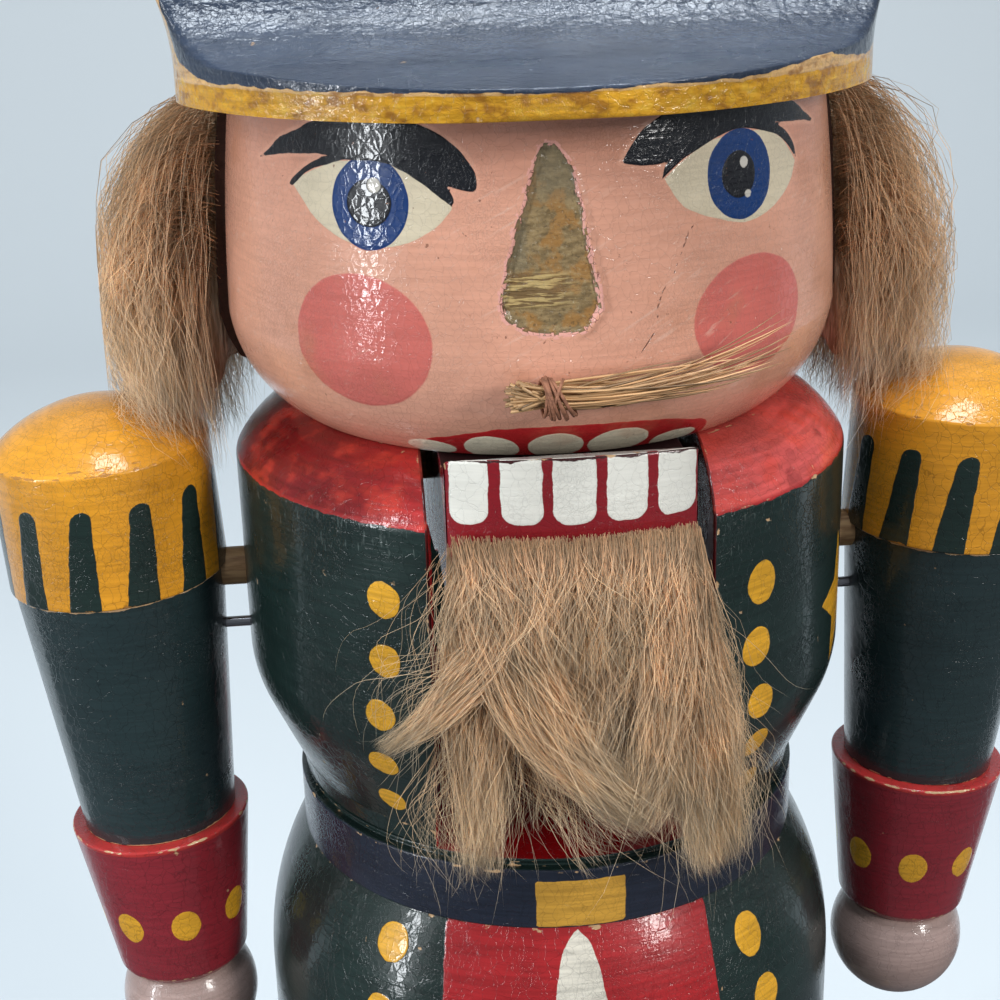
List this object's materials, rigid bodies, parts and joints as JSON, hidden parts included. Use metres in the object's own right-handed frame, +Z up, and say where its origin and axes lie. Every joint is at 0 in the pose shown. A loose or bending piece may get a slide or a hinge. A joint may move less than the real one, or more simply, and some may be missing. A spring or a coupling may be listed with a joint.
{
  "type": "nutcracker figure",
  "caption": "Turned and painted wooden soldier figure whose jaw is the front end of a lever through its body; lifting the coat tail opens the mouth for a nut.",
  "frame": {"origin": "centre of the base's underside", "axes": "+Z up, -Y the way the figure faces, +X the figure's own left"},
  "size_m": [0.1404, 0.1002, 0.2845],
  "materials": {
    "base_paint": "dark green gloss paint on turned wood",
    "coat_paint": "green-black gloss paint on turned wood",
    "jaw_paint": "dark red gloss paint on sawn wood",
    "fur": "tan fur on a strip of hide",
    "skin_paint": "pink gloss paint on turned wood, finely crackled",
    "straw": "dry plant fibres",
    "string": "brown twisted string",
    "hat_paint": "black gloss paint with a gold edge, on turned and sawn wood",
    "dowel_wood": "bare beech dowel",
    "boot_paint": "black gloss paint on turned wood",
    "trouser_paint": "cream gloss paint on turned wood",
    "gold_paint": "yellow-gold gloss paint on turned wood",
    "cuff_paint": "red gloss paint on turned wood",
    "hand_paint": "off-white gloss paint on turned wood",
    "nail_steel": "bright wire nail"
  },
  "bodies": {
    "figure": {"arm_dowel_left": "dowel_wood", "arm_dowel_right": "dowel_wood", "arm_nail_left": "nail_steel", "arm_nail_right": "nail_steel", "arm_peg_left": "dowel_wood", "arm_peg_right": "dowel_wood", "base": "base_paint", "body": "coat_paint", "boot_left": "boot_paint", "boot_right": "boot_paint", "cuff_left": "cuff_paint", "cuff_right": "cuff_paint", "epaulette_left": "gold_paint", "epaulette_right": "gold_paint", "hair": "fur", "hand_left": "hand_paint", "hand_right": "hand_paint", "hat": "hat_paint", "hat_dowel": "dowel_wood", "head": "skin_paint", "jaw_pin": "dowel_wood", "leg_dowel_left": "dowel_wood", "leg_dowel_right": "dowel_wood", "moustache": "straw", "moustache_string": "string", "neck_dowel_left": "dowel_wood", "neck_dowel_right": "dowel_wood", "shoe_left": "boot_paint", "shoe_right": "boot_paint", "sleeve_left": "coat_paint", "sleeve_right": "coat_paint", "trouser_left": "trouser_paint", "trouser_right": "trouser_paint"},
    "jaw": {"jaw_lever": "jaw_paint", "beard": "fur"}
  },
  "joints": [
    {"name": "jaw_hinge", "type": "hinge", "parent": "figure", "child": "jaw", "pos_m": [-0.0006, 0.006, 0.185], "axis": [1, 0, 0], "range_deg": [0, 26], "deforming": ["beard"]}
  ]
}
